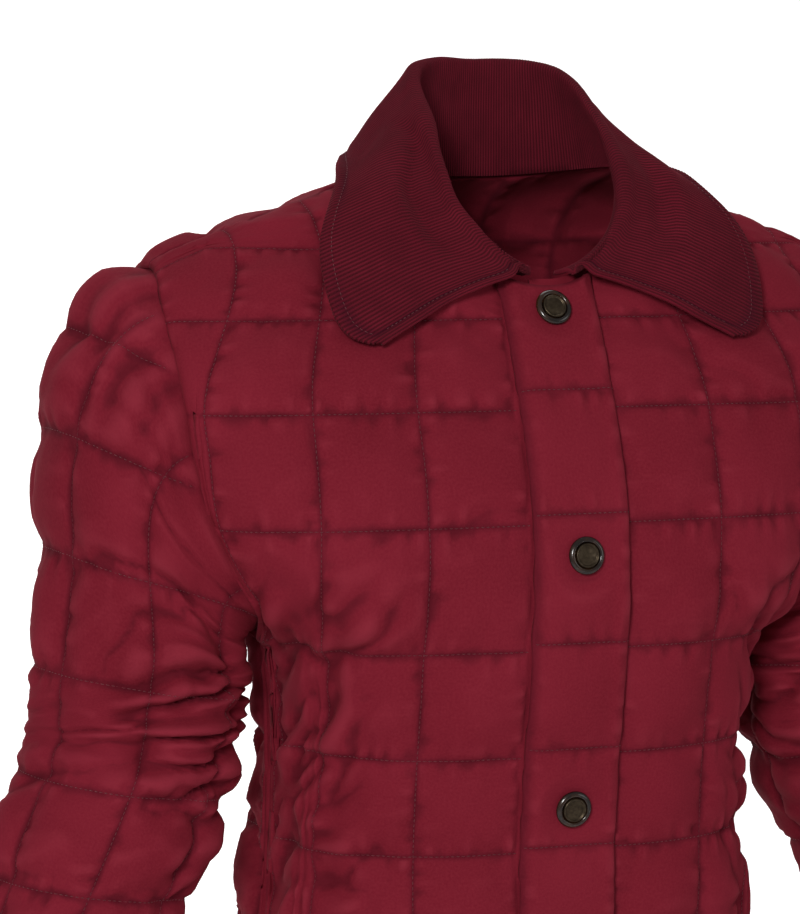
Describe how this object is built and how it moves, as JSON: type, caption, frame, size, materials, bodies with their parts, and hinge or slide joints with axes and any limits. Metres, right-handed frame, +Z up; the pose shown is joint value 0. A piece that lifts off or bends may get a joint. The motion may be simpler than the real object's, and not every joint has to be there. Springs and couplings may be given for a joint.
{
  "type": "quilted jacket",
  "caption": "Box-quilted hip-length jacket with a corduroy fold-down collar and a snap-fastened front strip, in its worn shape.",
  "frame": {"origin": "middle of the neck at the height of the side neck points, where the shoulders carry the jacket", "axes": "+Z up, -Y the wearer's front, -X the wearer's right"},
  "size_m": [0.7842, 0.2895, 0.8061],
  "materials": {
    "shell_cloth": "peached plain-weave microfibre, matt, quilted over thin padding",
    "corduroy": "fine-wale cotton corduroy",
    "snap_horn": "polished dark horn look",
    "snap_metal": "antique brass, darkened in its hollows"
  },
  "bodies": {
    "root": {"front_right": "shell_cloth", "front_left": "shell_cloth", "back": "shell_cloth", "placket": "shell_cloth", "sleeve_right": "shell_cloth", "sleeve_left": "shell_cloth", "collar": "corduroy", "snap_rim_1": "snap_horn", "snap_cap_1": "snap_metal", "snap_rim_2": "snap_horn", "snap_cap_2": "snap_metal", "snap_rim_3": "snap_horn", "snap_cap_3": "snap_metal", "snap_rim_4": "snap_horn", "snap_cap_4": "snap_metal", "snap_rim_5": "snap_horn", "snap_cap_5": "snap_metal"}
  },
  "joints": []
}
